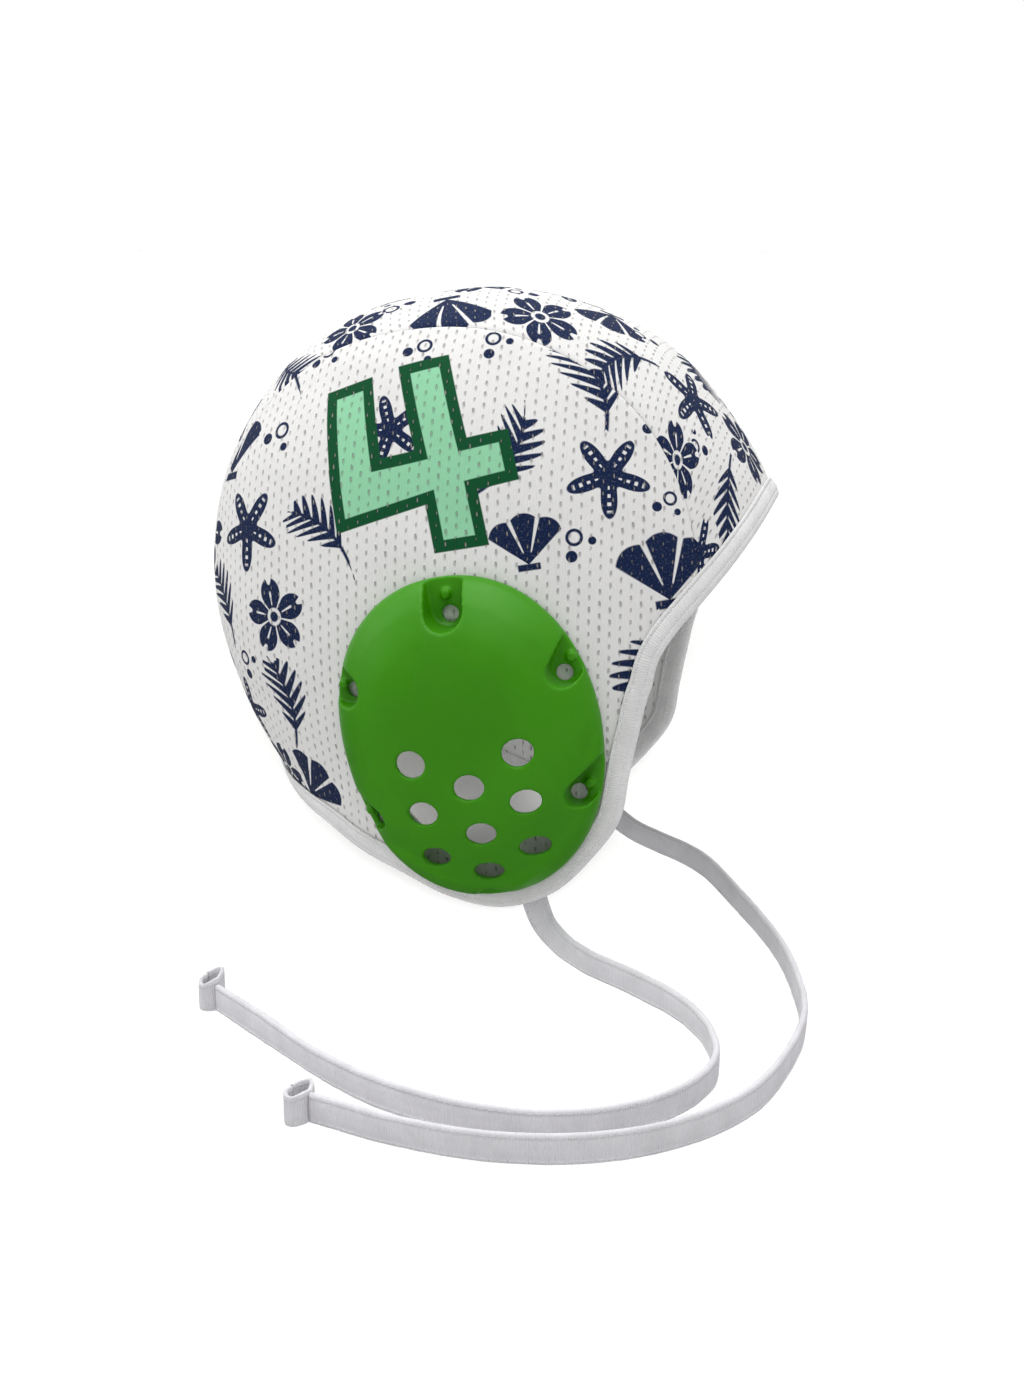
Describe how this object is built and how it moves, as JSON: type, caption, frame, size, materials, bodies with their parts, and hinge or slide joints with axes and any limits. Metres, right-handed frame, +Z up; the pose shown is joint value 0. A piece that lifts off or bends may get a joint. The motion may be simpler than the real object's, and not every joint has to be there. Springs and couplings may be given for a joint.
{
  "type": "water polo cap",
  "caption": "Soft mesh sports cap with bound edge, moulded perforated ear guards laced over oval ear openings, and two free tape ties ending in sewn loops.",
  "frame": {"origin": "inside of the crown's top, where the cap sits on a head", "axes": "+X to the wearer's face, +Y to the wearer's left, +Z up"},
  "size_m": [0.2251, 0.3136, 0.2191],
  "materials": {
    "mesh_cloth": "white knitted mesh with small eyelets, printed in navy, with a green and mint number on each side",
    "binding_tape": "matt white elastic edge tape, folded and stitched",
    "guard_plastic": "grass green moulded plastic, softly satin",
    "tie_tape": "matt white cotton tape"
  },
  "bodies": {
    "root": {"crown_strip": "mesh_cloth", "side_panel_right": "mesh_cloth", "side_panel_left": "mesh_cloth", "edge_binding": "binding_tape", "ear_guard_right": "guard_plastic", "ear_guard_left": "guard_plastic", "tie_right": "tie_tape", "tie_left": "tie_tape", "tie_loop_right": "tie_tape", "tie_loop_left": "tie_tape"}
  },
  "joints": []
}
